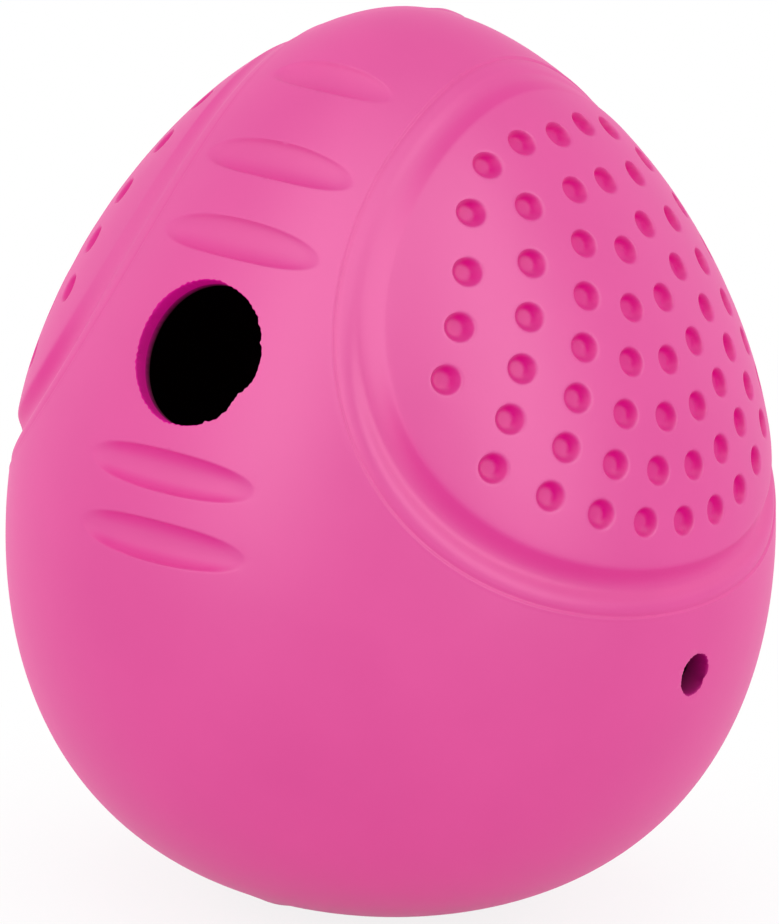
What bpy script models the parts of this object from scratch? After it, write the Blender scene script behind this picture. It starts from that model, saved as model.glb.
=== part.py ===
"""Weighted treat egg of moulded rubber, in metres with +Z up.

Two rubber half shells are bonded together in the plane through the treat opening. They trap an iron
slug and a rubber floor disc in the base, so the egg stands on its blunt end and rights itself.
The origin is the middle of the resting flat. The opening faces -Y and the dimpled panels face -X
and +X.
"""

import math

import bmesh
import bpy
import numpy as np
from mathutils import Vector

# Body: the egg's outline, from the round base over the widest girth to the crown.
body_height = 0.1000
body_radius = 0.0423
widest_height = 0.0413
flat_depth = 0.0004
base_curve_share = 0.695
lower_side_share = 0.570
upper_side_share = 0.550
crown_curve_share = 0.380

# Moulding: wall of the hollow, film of cement between the half shells, play of the ballast.
wall = 0.0026
bond_gap = 0.0003
fit_gap = 0.0003

# Treat opening and vent, punched square to the wall.
opening_radius = 0.0080
opening_drop = 0.0311
vent_radius = 0.00235
vent_drop = 0.0663

# Grip grooves: straight round-bottomed cuts across the front.
groove_radius = 0.0026
groove_depth = 0.0015
top_groove_depth = 0.0012
groove_pitch = 0.0075
groove_reach = 0.0160
upper_groove_rise = 0.0112
upper_groove_count = 3
lower_groove_drop = 0.0124
lower_groove_count = 2

# Side panels: outlined in the front view by an upright line that runs into a wide arc.
panel_line = 0.0113
panel_arc_radius = 0.0555
panel_arc_drop = 0.0087

# Relief of a panel: distances inside its outline, and the rubber's depth at each of them.
crease_width = 0.0003
crease_depth = 0.00018
band_crown_offset = 0.0012
band_crown_depth = 0.00010
band_fall_offset = 0.0020
band_fall_depth = 0.00052
channel_offset = 0.0027
channel_depth = 0.00090
shoulder_offset = 0.0040
shoulder_depth = 0.00045
pad_offset = 0.0047
pad_rise = 0.00015

# Dimples of a panel: rings about a point near the crown, seen square from the side.
dimple_radius = 0.00155
dimple_depth = 0.0012
dimple_ring_pitch = 0.00548
dimple_ring_drop = 0.0102
dimple_ring_count = 7
dimple_slots_per_ring = 6
dimple_margin = 0.0033
dimple_mouth_share = 1.12
dimple_waist_share = 0.74
dimple_waist_depth_share = 0.60

# Ballast: iron slug in a pocket of the solid base, under a bonded rubber floor disc.
base_web = 0.0050
slug_radius = 0.0190
slug_height = 0.0120
slug_base_chamfer = 0.0025
slug_top_chamfer = 0.0010
cover_radius = 0.0235
cover_thickness = 0.0030
cover_crown = 0.0008
cover_edge = 0.0008

# Facets of the model.
panel_rays = 72
ray_crowding_share = 0.15
ray_centre_share = 0.45
skirt_rings = 9
hollow_segments = 36
hollow_rings = 10
outline_steps = 1500
search_steps = 40
groove_sides = 20
opening_sides = 32
vent_sides = 12
dimple_sides = 8
ballast_sides = 40
sharp_angle = 50

# Colour, roughness and metallic value of each material.
PINK_RUBBER = ((0.80, 0.125, 0.365, 1), 0.55, 0)
DARK_IRON = ((0.20, 0.20, 0.21, 1), 0.60, 1)

# Heights that follow from the sizes above.
opening_height = body_height - opening_drop
vent_height = body_height - vent_drop
panel_arc_height = body_height - panel_arc_drop
dimple_ring_height = body_height - dimple_ring_drop
slug_base = base_web + fit_gap
slug_top = slug_base + slug_height
cover_base = slug_top + fit_gap
floor_height = cover_base + cover_thickness


def clear_scene():
    for item in list(bpy.data.objects):
        bpy.data.objects.remove(item, do_unlink=True)


def make_material(name, look):
    colour, roughness, metallic = look
    material = bpy.data.materials.new(name)
    material.use_nodes = True
    shader = material.node_tree.nodes["Principled BSDF"]
    shader.inputs["Base Color"].default_value = colour
    shader.inputs["Roughness"].default_value = roughness
    shader.inputs["Metallic"].default_value = metallic
    return material


def bezier(start, first_handle, last_handle, end, share):
    """Point of a cubic curve at a share of its way."""
    rest = 1 - share
    point = rest ** 3 * start + 3 * share * rest ** 2 * first_handle
    return point + 3 * share ** 2 * rest * last_handle + share ** 3 * end


def body_outline():
    """Radius and height along the outline, from the pole under the flat up to the crown."""
    pole = np.array([0, -flat_depth])
    girth = np.array([body_radius, widest_height])
    crown = np.array([0, body_height])
    sideways = np.array([body_radius, 0])
    down = np.array([0, -flat_depth - widest_height])
    up = np.array([0, body_height - widest_height])
    shares = np.linspace(0, 1, outline_steps)[:, None]
    pole_handle = pole + sideways * base_curve_share
    lower_handle = girth + down * lower_side_share
    upper_handle = girth + up * upper_side_share
    crown_handle = crown + sideways * crown_curve_share
    lower = bezier(pole, pole_handle, lower_handle, girth, shares)
    upper = bezier(girth, upper_handle, crown_handle, crown, shares[1:])
    return np.concatenate([lower, upper])


outline = body_outline()
outline_heights = outline[:, 1]
outline_squares = outline[:, 0] ** 2


def radius_square(height):
    return float(np.interp(height, outline_heights, outline_squares))


def surface_normal(point):
    """Outward direction of the plain egg at a point on it."""
    reach = body_height / outline_steps
    low = max(point.z - reach, -flat_depth)
    high = min(point.z + reach, body_height)
    slope = (radius_square(high) - radius_square(low)) / (high - low)
    return Vector((point.x, point.y, -slope / 2)).normalized()


def front_point(height):
    """Point of the plain egg on the middle line of its front."""
    return Vector((0, -math.sqrt(radius_square(height)), height))


def side_point(y, height):
    """Point of the plain egg seen at y and height from its +X side."""
    return Vector((math.sqrt(max(radius_square(height) - y * y, 0)), y, height))


def lifted(point, rise):
    """The point moved out along the egg's normal."""
    return point + surface_normal(point) * rise


def panel_offset(point):
    """Distance of a point inside the panel's outline, measured in the front view."""
    if point.z >= panel_arc_height:
        return point.x - panel_line
    across = panel_line + panel_arc_radius - point.x
    return panel_arc_radius - math.hypot(across, panel_arc_height - point.z)


def bisect(low, high, is_past):
    """Value between low and high where is_past turns from false to true."""
    for _ in range(search_steps):
        middle = (low + high) / 2
        if is_past(middle):
            high = middle
        else:
            low = middle
    return (low + high) / 2


def ray_centre():
    """Height on the panel's middle line from which the rays of its mesh run out."""
    def is_inside(height):
        return panel_offset(side_point(0, height)) > 0
    low = bisect(0, panel_arc_height, is_inside)
    high = bisect(low + panel_line, body_height, lambda height: not is_inside(height))
    return low + (high - low) * ray_centre_share


def panel_relief():
    """Distances inside the panel's outline, each with the rise of the rubber there."""
    return [
        (0, 0),
        (crease_width, -crease_depth),
        (band_crown_offset, -band_crown_depth),
        (band_fall_offset, -band_fall_depth),
        (channel_offset, -channel_depth),
        (shoulder_offset, -shoulder_depth),
        (pad_offset, pad_rise),
    ]


def ray_points(angle, centre):
    """Points of one ray, from the bond plane over the skirt and the relief to the pad's edge."""
    def spot(reach):
        return reach * math.sin(angle), centre + reach * math.cos(angle)

    def misses_body(reach):
        y, height = spot(reach)
        if height > body_height or height < -flat_depth:
            return True
        return radius_square(height) - y * y < (bond_gap / 2) ** 2

    seam_reach = bisect(0, body_height, misses_body)

    def reach_of(offset):
        return bisect(0, seam_reach, lambda reach: panel_offset(side_point(*spot(reach))) < offset)

    seam = side_point(*spot(seam_reach))
    seam.x = bond_gap / 2
    points = [seam]
    crease_turn = math.asin(reach_of(0) / seam_reach)
    for ring in range(1, skirt_rings):
        turn = math.pi / 2 + (crease_turn - math.pi / 2) * ring / skirt_rings
        points.append(side_point(*spot(seam_reach * math.sin(turn))))
    for offset, rise in panel_relief():
        points.append(lifted(side_point(*spot(reach_of(offset))), rise))
    return points


def fill_pad(mesh, edge_loop):
    """Square grid of faces fitted to the pad's round edge and lifted onto the proud pad."""
    span = len(edge_loop) // 4
    ring = edge_loop[span // 2:] + edge_loop[:span // 2]
    grid = {}
    for step in range(span):
        grid[step, 0] = ring[step]
        grid[span, step] = ring[span + step]
        grid[span - step, span] = ring[2 * span + step]
        grid[0, span - step] = ring[3 * span + step]

    def between(start, end, share):
        return grid[start].co.lerp(grid[end].co, share)

    for row in range(1, span):
        for column in range(1, span):
            up = row / span
            across = column / span
            spot = between((row, 0), (row, span), across)
            spot = spot + between((0, column), (span, column), up)
            near = between((0, 0), (0, span), across)
            far = between((span, 0), (span, span), across)
            spot = spot - near.lerp(far, up)
            grid[row, column] = mesh.verts.new(lifted(side_point(spot.y, spot.z), pad_rise))
    for row in range(span):
        for column in range(span):
            corners = [grid[row, column], grid[row + 1, column]]
            corners += [grid[row + 1, column + 1], grid[row, column + 1]]
            mesh.faces.new(corners)


def half_egg_mesh(side):
    """Solid half egg with the relief of its panel; side is 1 for +X and -1 for -X."""
    mesh = bmesh.new()
    centre = ray_centre()
    rays = []
    for ray in range(panel_rays):
        turn = 2 * math.pi * ray / panel_rays
        angle = turn + ray_crowding_share * math.sin(turn)
        rays.append([mesh.verts.new(point) for point in ray_points(angle, centre)])
    for here, there in zip(rays, rays[1:] + rays[:1]):
        for ring in range(len(here) - 1):
            mesh.faces.new((here[ring], there[ring], there[ring + 1], here[ring + 1]))
    mesh.faces.new([ray[0] for ray in rays])
    fill_pad(mesh, [ray[-1] for ray in rays])
    for corner in mesh.verts:
        corner.co.x *= side
    return mesh


def turned_solid(mesh, start, end, stations, sides):
    """Closed turned solid along the line from start to end.

    Each station is a share of the way and the radius there; a radius of 0 is a point on the axis.
    """
    along = (end - start).normalized()
    across = along.orthogonal().normalized()
    third = along.cross(across)
    rings = []
    for share, radius in stations:
        middle = start.lerp(end, share)
        ring = []
        for step in range(sides if radius > 0 else 1):
            turn = 2 * math.pi * (step + 0.5) / sides
            spoke = across * math.cos(turn) + third * math.sin(turn)
            ring.append(mesh.verts.new(middle + spoke * radius))
        rings.append(ring)
    for cap in (rings[0], rings[-1]):
        if len(cap) > 1:
            mesh.faces.new(cap)
    for near, far in zip(rings, rings[1:]):
        for step in range(sides):
            corners = []
            for ring, index in ((near, step), (near, step + 1), (far, step + 1), (far, step)):
                corner = ring[index % len(ring)]
                if corner not in corners:
                    corners.append(corner)
            mesh.faces.new(corners)


def upright_turning(profile, sides):
    """Mesh turned about the egg's axis from (radius, height) pairs, listed upwards."""
    mesh = bmesh.new()
    low = profile[0][1]
    high = max(height for _, height in profile)
    stations = [((height - low) / (high - low), radius) for radius, height in profile]
    turned_solid(mesh, Vector((0, 0, low)), Vector((0, 0, high)), stations, sides)
    return mesh


def finish_object(name, mesh, material):
    """Object made from a bmesh with its faces turned outwards."""
    bmesh.ops.recalc_face_normals(mesh, faces=mesh.faces)
    data = bpy.data.meshes.new(name)
    mesh.to_mesh(data)
    mesh.free()
    data.materials.append(material)
    data.shade_smooth()
    data.set_sharp_from_angle(angle=math.radians(sharp_angle))
    item = bpy.data.objects.new(name, data)
    bpy.context.scene.collection.objects.link(item)
    return item


def make_cutter(name, mesh, material):
    cutter = finish_object(name, mesh, material)
    cutter.hide_render = True
    cutter.display_type = "WIRE"
    return cutter


def hollow_cutter(material):
    """Slug pocket, seat of the floor disc, and the hollow inside the wall."""
    pocket_radius = slug_radius + fit_gap
    seat_radius = cover_radius + fit_gap
    profile = [(0, base_web), (pocket_radius - slug_base_chamfer, base_web)]
    profile.append((pocket_radius, base_web + slug_base_chamfer))
    profile.append((pocket_radius, slug_top))
    profile.append((seat_radius, slug_top))
    profile.append((seat_radius, floor_height))
    for ring in range(hollow_rings):
        rise = math.sin(math.pi / 2 * ring / hollow_rings)
        height = floor_height + (body_height - floor_height) * rise
        inner = lifted(side_point(0, height), -wall)
        profile.append((inner.x, max(inner.z, floor_height)))
    profile.append((0, body_height - wall))
    return make_cutter("hollow_cutter", upright_turning(profile, hollow_segments), material)


def bore_cutter(name, point, radius, sides, material):
    """Straight punch through the wall, square to the surface at the point."""
    mesh = bmesh.new()
    reach = 2 * wall + radius
    ends = lifted(point, reach), lifted(point, -reach)
    turned_solid(mesh, *ends, [(0, radius), (1, radius)], sides)
    return make_cutter(name, mesh, material)


def groove_places():
    """Height and depth of each groove; the topmost is the shallowest."""
    upper = [upper_groove_rise + groove_pitch * step for step in range(upper_groove_count)]
    lower = [-lower_groove_drop - groove_pitch * step for step in range(lower_groove_count)]
    rises = sorted(upper + lower)
    depths = [groove_depth for _ in rises[:-1]] + [top_groove_depth]
    return [(opening_height + rise, depth) for rise, depth in zip(rises, depths)]


def groove_cutter(material):
    """Straight rods across the front; the round body leaves each a lens-shaped groove."""
    mesh = bmesh.new()
    half = Vector((groove_reach, 0, 0))
    stations = [(0, groove_radius), (1, groove_radius)]
    for height, depth in groove_places():
        middle = lifted(front_point(height), groove_radius - depth)
        turned_solid(mesh, middle - half, middle + half, stations, groove_sides)
    return make_cutter("groove_cutter", mesh, material)


def dimple_spot(ring, angle):
    """Where a dimple of a ring lies in the side view; an angle of 0 is straight down."""
    reach = dimple_ring_pitch * ring
    return reach * math.sin(angle), dimple_ring_height - reach * math.cos(angle)


def clears_pad_edge(ring, angle):
    y, height = dimple_spot(ring, angle)
    if height >= body_height or radius_square(height) <= y * y:
        return False
    return panel_offset(side_point(y, height)) > pad_offset + dimple_margin


def dimple_places():
    """Points of the +X side that carry a dimple, ring by ring.

    A dimple too near the pad's edge slides down its ring by up to half a slot, or is left out.
    """
    places = [side_point(0, dimple_ring_height)]
    for ring in range(1, dimple_ring_count + 1):
        slot_turn = 2 * math.pi / (dimple_slots_per_ring * ring)
        angle = slot_turn / 2 * (ring % 2)
        while angle < math.pi and clears_pad_edge(ring, max(angle - slot_turn / 2, 0)):
            slide = 0
            if not clears_pad_edge(ring, angle):
                slide = bisect(0, slot_turn / 2, lambda turn: clears_pad_edge(ring, angle - turn))
            y, height = dimple_spot(ring, angle - slide)
            places.append(side_point(y, height))
            if y > dimple_radius:
                places.append(side_point(-y, height))
            angle += slot_turn
    return places


def dimple_cutter(name, side, material):
    """One bowl for each dimple, all in one cutter."""
    mesh = bmesh.new()
    waist_share = 0.5 + dimple_waist_depth_share / 2
    stations = [(0, dimple_radius * dimple_mouth_share), (0.5, dimple_radius)]
    stations += [(waist_share, dimple_radius * dimple_waist_share), (1, 0)]
    for place in dimple_places():
        top = lifted(place, pad_rise + dimple_depth)
        bottom = lifted(place, pad_rise - dimple_depth)
        turned_solid(mesh, top, bottom, stations, dimple_sides)
    for corner in mesh.verts:
        corner.co.x *= side
    return make_cutter(name, mesh, material)


def ground_cutter(material):
    """Block under the ground plane, which leaves the resting flat."""
    mesh = bmesh.new()
    bmesh.ops.create_cube(mesh, size=2 * body_radius)
    for corner in mesh.verts:
        corner.co.z -= body_radius
    return make_cutter("ground_cutter", mesh, material)


def cut_away(item, cutters):
    """Cut the item with each cutter, keep the result as its mesh and mark its sharp edges."""
    for cutter in cutters:
        modifier = item.modifiers.new(cutter.name, "BOOLEAN")
        modifier.operation = "DIFFERENCE"
        modifier.solver = "EXACT"
        modifier.object = cutter
    evaluated = item.evaluated_get(bpy.context.evaluated_depsgraph_get())
    result = bpy.data.meshes.new_from_object(evaluated)
    item.modifiers.clear()
    item.data = result
    result.shade_smooth()
    result.set_sharp_from_angle(angle=math.radians(sharp_angle))


def build_shells():
    guide = make_material("cutter_guide", PINK_RUBBER)
    front = front_point(opening_height)
    vent = side_point(0, vent_height)
    shared = [ground_cutter(guide), hollow_cutter(guide), groove_cutter(guide)]
    shared.append(bore_cutter("opening_cutter", front, opening_radius, opening_sides, guide))
    for name, side in (("left_shell", -1), ("right_shell", 1)):
        shell = finish_object(name, half_egg_mesh(side), make_material(name, PINK_RUBBER))
        own = [dimple_cutter(name + "_dimple_cutter", side, guide)]
        if side > 0:
            own.append(bore_cutter("vent_cutter", vent, vent_radius, vent_sides, guide))
        cut_away(shell, shared + own)


def build_ballast_weight():
    profile = [
        (0, slug_base),
        (slug_radius - slug_base_chamfer, slug_base),
        (slug_radius, slug_base + slug_base_chamfer),
        (slug_radius, slug_top - slug_top_chamfer),
        (slug_radius - slug_top_chamfer, slug_top),
        (0, slug_top),
    ]
    mesh = upright_turning(profile, ballast_sides)
    finish_object("ballast_weight", mesh, make_material("ballast_weight", DARK_IRON))


def build_ballast_cover():
    half_way = 0.5
    profile = [
        (0, cover_base),
        (cover_radius, cover_base),
        (cover_radius, floor_height - cover_edge),
        (cover_radius - cover_edge, floor_height),
        (cover_radius * half_way, floor_height + cover_crown * (1 - half_way ** 2)),
        (0, floor_height + cover_crown),
    ]
    mesh = upright_turning(profile, ballast_sides)
    finish_object("ballast_cover", mesh, make_material("ballast_cover", PINK_RUBBER))


clear_scene()
build_shells()
build_ballast_weight()
build_ballast_cover()
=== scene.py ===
"""Weighted treat egg of pink rubber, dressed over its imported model.

The rubber body is one fine skin over both half shells, with the dimpled panels, grip grooves,
punched opening and vent. The floor disc and the iron slug in the base get their own finish.
"""

import math

import bmesh
import bpy
import numpy as np
from bpy.props import FloatProperty, FloatVectorProperty, IntProperty, PointerProperty
from bpy.types import Operator, Panel, PropertyGroup
from mathutils import Matrix, Vector
from mathutils.geometry import delaunay_2d_cdt
from mathutils.kdtree import KDTree


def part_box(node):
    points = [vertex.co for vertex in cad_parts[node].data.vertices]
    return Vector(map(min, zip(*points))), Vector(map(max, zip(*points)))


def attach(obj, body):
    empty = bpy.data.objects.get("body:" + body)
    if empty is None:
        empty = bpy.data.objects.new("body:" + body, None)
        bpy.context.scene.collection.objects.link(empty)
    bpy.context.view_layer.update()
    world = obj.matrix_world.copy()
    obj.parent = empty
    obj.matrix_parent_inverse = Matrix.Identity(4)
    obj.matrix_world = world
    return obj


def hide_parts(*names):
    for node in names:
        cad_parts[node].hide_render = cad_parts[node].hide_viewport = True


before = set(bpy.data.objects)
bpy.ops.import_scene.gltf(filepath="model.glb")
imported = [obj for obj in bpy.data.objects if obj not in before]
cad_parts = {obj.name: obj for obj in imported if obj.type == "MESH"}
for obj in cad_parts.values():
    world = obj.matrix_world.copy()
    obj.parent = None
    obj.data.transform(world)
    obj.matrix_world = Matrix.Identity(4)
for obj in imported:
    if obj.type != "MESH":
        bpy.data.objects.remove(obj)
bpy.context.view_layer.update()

bl_info = {
    "name": "Weighted Treat Egg",
    "version": (1, 0, 0),
    "blender": (4, 5, 0),
    "location": "3D View > Sidebar > Treat Egg",
    "description": "Builds a weighted rubber treat egg with dimpled side panels",
    "category": "Add Mesh",
}

SHELL_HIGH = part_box("right_shell")[1]
MM = 0.001
TURN = 2.0 * math.pi
UP = np.array([0.0, 0.0, 1.0])
WHITE = (1.0, 1.0, 1.0, 1.0)
BISECTIONS = 44
SOFT_REACH = 4.0
TURNED_SIDES = 120
RUBBER_SHARP = math.radians(40.0)
IRON_SHARP = math.radians(30.0)


def length(name, description, millimetres):
    """Float property for a length, with its default in millimetres."""
    return FloatProperty(
        name=name, description=description, default=millimetres * MM, min=0.0,
        subtype="DISTANCE", unit="LENGTH", precision=5,
    )


def share(name, description, default):
    return FloatProperty(
        name=name, description=description, default=default, min=0.0, max=1.0, subtype="FACTOR"
    )


def colour(name, description, default):
    return FloatVectorProperty(
        name=name, description=description, default=default, size=4, min=0.0, max=1.0,
        subtype="COLOR",
    )


def power(name, description, default):
    return FloatProperty(
        name=name, description=description, default=default, min=0.0, unit="POWER", precision=3
    )


class BodySizes(PropertyGroup):
    """Outline and wall of the rubber egg."""

    height: length("Height", "From the resting flat to the crown", SHELL_HIGH[2] / MM)
    radius: length("Radius", "Radius at the widest girth", SHELL_HIGH[0] / MM)
    widest_height: length("Girth height", "Height of the widest girth", 41.3)
    flat_depth: length("Flat depth", "How far the pole would reach under the resting flat", 0.4)
    base_curve: share("Base fullness", "How wide the base curve runs", 0.695)
    lower_side: share("Lower side fullness", "How steep the side is under the girth", 0.570)
    upper_side: share("Upper side fullness", "How steep the side is over the girth", 0.550)
    crown_curve: share("Crown fullness", "How wide the crown is", 0.380)
    wall: length("Wall", "Thickness of the rubber round the hollow", 2.6)
    floor_height: length("Floor height", "Height of the floor disc's rim", 20.6)
    facet: length("Facet", "Spacing of the points on plain rubber", 1.1)


class PanelSizes(PropertyGroup):
    """Outline of the two side panels, as the front view shows them."""

    line: length("Line", "Distance of the straight edge from the middle", 11.3)
    arc_radius: length("Arc radius", "Radius of the edge's arc in the front view", 55.5)
    arc_drop: length("Arc drop", "How far under the crown the arc begins", 8.7)
    pad_offset: length("Pad offset", "From the outline to the edge of the pad", 4.7)
    softness: length("Softness", "Rounding of the moulded edges", 0.05)


class DimpleSizes(PropertyGroup):
    """Rings of dimples on each pad, seen square from the side."""

    radius: length("Radius", "Radius of a dimple's mouth", 1.66)
    depth: length("Depth", "Depth of a dimple", 1.05)
    ring_pitch: length("Ring pitch", "Distance from ring to ring", 5.48)
    ring_drop: length("Ring drop", "How far under the crown the rings' middle lies", 10.2)
    ring_count: IntProperty(name="Rings", description="Number of rings", default=7, min=1)
    slots: IntProperty(name="Slots", description="Places added by each ring", default=6, min=3)
    margin: length("Margin", "Least distance from the pad's edge", 3.3)
    lean: share("Lean", "How far a dimple leans to the way that the mould opens", 0.5)
    rim: length("Rim", "Rounding of a dimple's edges", 0.05)


class GrooveSizes(PropertyGroup):
    """Grip grooves across the front, over and under the opening."""

    radius: length("Radius", "Radius of a groove's floor", 2.6)
    depth: length("Depth", "Depth in the middle of a groove", 1.5)
    pitch: length("Pitch", "Distance from groove to groove", 7.5)
    upper_rise: length("Upper rise", "From the opening up to the first groove", 11.2)
    lower_drop: length("Lower drop", "From the opening down to the first groove", 12.4)
    upper_count: IntProperty(name="Upper", description="Grooves over the opening", default=3)
    lower_count: IntProperty(name="Lower", description="Grooves under the opening", default=2)
    top_depth: length("Top depth", "Depth in the middle of the topmost groove", 1.2)
    rim: length("Rim", "Rounding of a groove's edge", 0.08)
    wall: length("Wall", "Depth at which a groove's wall turns into its flatter floor", 0.38)
    flatness: share("Flatness", "How much flatter than a round cut the floor is", 0.45)


class BoreSizes(PropertyGroup):
    """The punched treat opening in the front and the vent in the side."""

    opening_radius: length("Opening radius", "Radius of the treat opening", 8.0)
    opening_drop: length("Opening drop", "How far under the crown the opening lies", 31.1)
    vent_radius: length("Vent radius", "Radius of the vent", 2.35)
    vent_drop: length("Vent drop", "How far under the crown the vent lies", 66.3)
    rim: length("Rim", "Rounding of a punched edge", 0.12)


class RubberLook(PropertyGroup):
    """Colours of the moulded rubber, and the painted shade of its recesses and of its inside."""

    skin: colour("Skin", "The rubber's own pink", (0.678, 0.063, 0.292, 1.0))
    # Painted shade: the deep pink darkens the dimples, the channel and the grooves where shade
    # falls.
    deep: colour("Deep", "Pink in the dimples, where no bloom lies on it", (0.70, 0.0, 0.245, 1.0))
    cut: colour("Cut", "Punched rubber of the opening's edge", (0.80, 0.0, 0.32, 1.0))
    # Painted shade: near black for the unlit inside of the egg and the inner part of the punched
    # walls.
    hollow: colour("Hollow", "Unlit rubber inside the egg", (0.030, 0.002, 0.012, 1.0))
    roughness: share("Roughness", "Roughness of the moulded skin", 0.48)


class StageLook(PropertyGroup):
    """Floor, lamps and room."""

    floor: colour("Floor", "The floor's colour", (0.95, 0.95, 0.95, 1.0))
    side_power: power("Side lamps", "Power of the two big soft lamps in front", 0.12)
    sheen_power: power("Sheen lamps", "Power of the two lamps that only gloss shows", 15.5)
    rim_power: power("Rim lamps", "Power of the two soft lamps behind the egg", 0.7)
    sky: FloatProperty(name="Sky", description="Strength of the white room", default=0.985, min=0.0)


OUTLINE_POINTS = 4001
LEAST_SQUARE = 1e-12


class EggShape:
    """The plain egg as tables of its radius over its height."""

    def __init__(self, body):
        self.crown = body.height
        self.pole = -body.flat_depth
        pole = np.array([0.0, self.pole])
        girth = np.array([body.radius, body.widest_height])
        crown = np.array([0.0, self.crown])
        out = np.array([body.radius, 0.0])
        up = np.array([0.0, self.crown - body.widest_height])
        down = np.array([0.0, self.pole - body.widest_height])
        shares = np.linspace(0.0, 1.0, OUTLINE_POINTS)[:, None]
        lower = self.curve(
            pole, pole + out * body.base_curve, girth + down * body.lower_side, girth, shares
        )
        upper = self.curve(
            girth, girth + up * body.upper_side, crown + out * body.crown_curve, crown, shares[1:]
        )
        outline = np.concatenate([lower, upper])
        self.heights = outline[:, 1]
        self.squares = outline[:, 0] ** 2
        self.slopes = np.gradient(self.squares, self.heights)
        steps = np.hypot(np.diff(outline[:, 0]), np.diff(outline[:, 1]))
        self.lengths = np.concatenate([[0.0], np.cumsum(steps)])

    @staticmethod
    def curve(start, first, last, end, shares):
        rest = 1.0 - shares
        point = rest**3 * start + 3.0 * shares * rest**2 * first
        return point + 3.0 * shares**2 * rest * last + shares**3 * end

    def square(self, heights):
        return np.interp(heights, self.heights, self.squares)

    def radius(self, heights):
        return np.sqrt(self.square(heights))

    def normals(self, points):
        slopes = np.interp(points[:, 2], self.heights, self.slopes)
        return unit_rows(np.stack([points[:, 0], points[:, 1], -slopes / 2.0], axis=1))

    def side_points(self, y, heights):
        """Points seen at y and height from the +X side."""
        x = np.sqrt(np.maximum(self.square(heights) - y * y, 0.0))
        return np.stack([x, y, heights], axis=-1)

    def depths(self, points):
        """How far points lie under the plain egg."""
        slopes = np.interp(points[:, 2], self.heights, self.slopes)
        squares = self.square(points[:, 2])
        gaps = squares - points[:, 0] ** 2 - points[:, 1] ** 2
        return gaps / np.sqrt(4.0 * squares + slopes**2 + LEAST_SQUARE)


def bisect(low, high, is_past):
    """Values between low and high where is_past turns true, for whole arrays at once."""
    for _ in range(BISECTIONS):
        middle = (low + high) / 2.0
        past = is_past(middle)
        high = np.where(past, middle, high)
        low = np.where(past, low, middle)
    return (low + high) / 2.0


def soft_above_zero(values, rounding):
    """The values where they are positive and 0 elsewhere, with a rounded corner."""
    return (values + np.sqrt(values**2 + rounding**2)) / 2.0


def eased(values, low, high):
    """Smooth step from 0 at low to 1 at high."""
    part = np.clip((values - low) / (high - low), 0.0, 1.0)
    return part * part * (3.0 - 2.0 * part)


def smoothed(table, places, values, softness):
    """Values over an even table, straight from place to place, with each corner softened."""
    step = table[1] - table[0]
    reach = int(SOFT_REACH * softness / step)
    spread = np.arange(-reach, reach + 1) * step / softness
    weights = np.exp(-(spread**2) / 2.0)
    padded = np.pad(np.interp(table, places, values), reach, mode="edge")
    return np.convolve(padded, weights / weights.sum(), mode="valid")


def looked_up(values, pairs):
    """What a table of (place, value) pairs gives at each of the values."""
    return np.interp(values, *np.array(pairs).T)


def unit(vector):
    return vector / np.linalg.norm(vector)


def unit_rows(vectors):
    return vectors / np.linalg.norm(vectors, axis=1)[:, None]


def gaps_across(points, middle, normal, reach):
    """Which points lie within reach of a middle, and their gaps from it square to its normal."""
    gap = points - middle
    near = (gap**2).sum(1) < reach**2
    return near, gap[near] - (gap[near] @ normal)[:, None] * normal


# Distance inside a panel's outline and height over the plain egg, in millimetres: first under the
# pad, then beside and over it, where the channel is shallower.
LEVELS_UNDER = (
    (-0.28, 0.0), (-0.12, 0.03), (-0.02, 0.05), (0.11, -0.17), (0.23, -0.20), (0.40, -0.12),
    (0.75, -0.07), (1.15, -0.09), (1.50, -0.22), (1.90, -0.52), (2.25, -0.79), (2.52, -0.90),
    (2.85, -0.90), (3.20, -0.84), (3.60, -0.68), (3.95, -0.45), (4.22, -0.22), (4.44, -0.03),
    (4.62, 0.08), (4.82, 0.15), (5.10, 0.19), (8.00, 0.28),
)
LEVELS_BESIDE = (
    (-0.28, 0.0), (-0.12, 0.03), (-0.02, 0.04), (0.11, -0.15), (0.23, -0.18), (0.40, -0.12),
    (0.60, -0.09), (1.60, -0.10), (1.90, -0.15), (2.20, -0.22), (2.50, -0.23), (3.00, -0.19),
    (3.60, -0.08), (4.00, 0.01), (4.38, 0.11), (4.58, 0.15), (5.10, 0.17), (8.00, 0.28),
)
LEVEL_TABLE = np.linspace(-1.5 * MM, 9.5 * MM, 4401)
# Slopes of the outline up the skin, between which the channel goes from beside the pad to under it.
UNDER_SLOPES = (-0.05, 0.40)
SLOPE_STEP = 0.05 * MM
LEAST_UP = 1e-6


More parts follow.
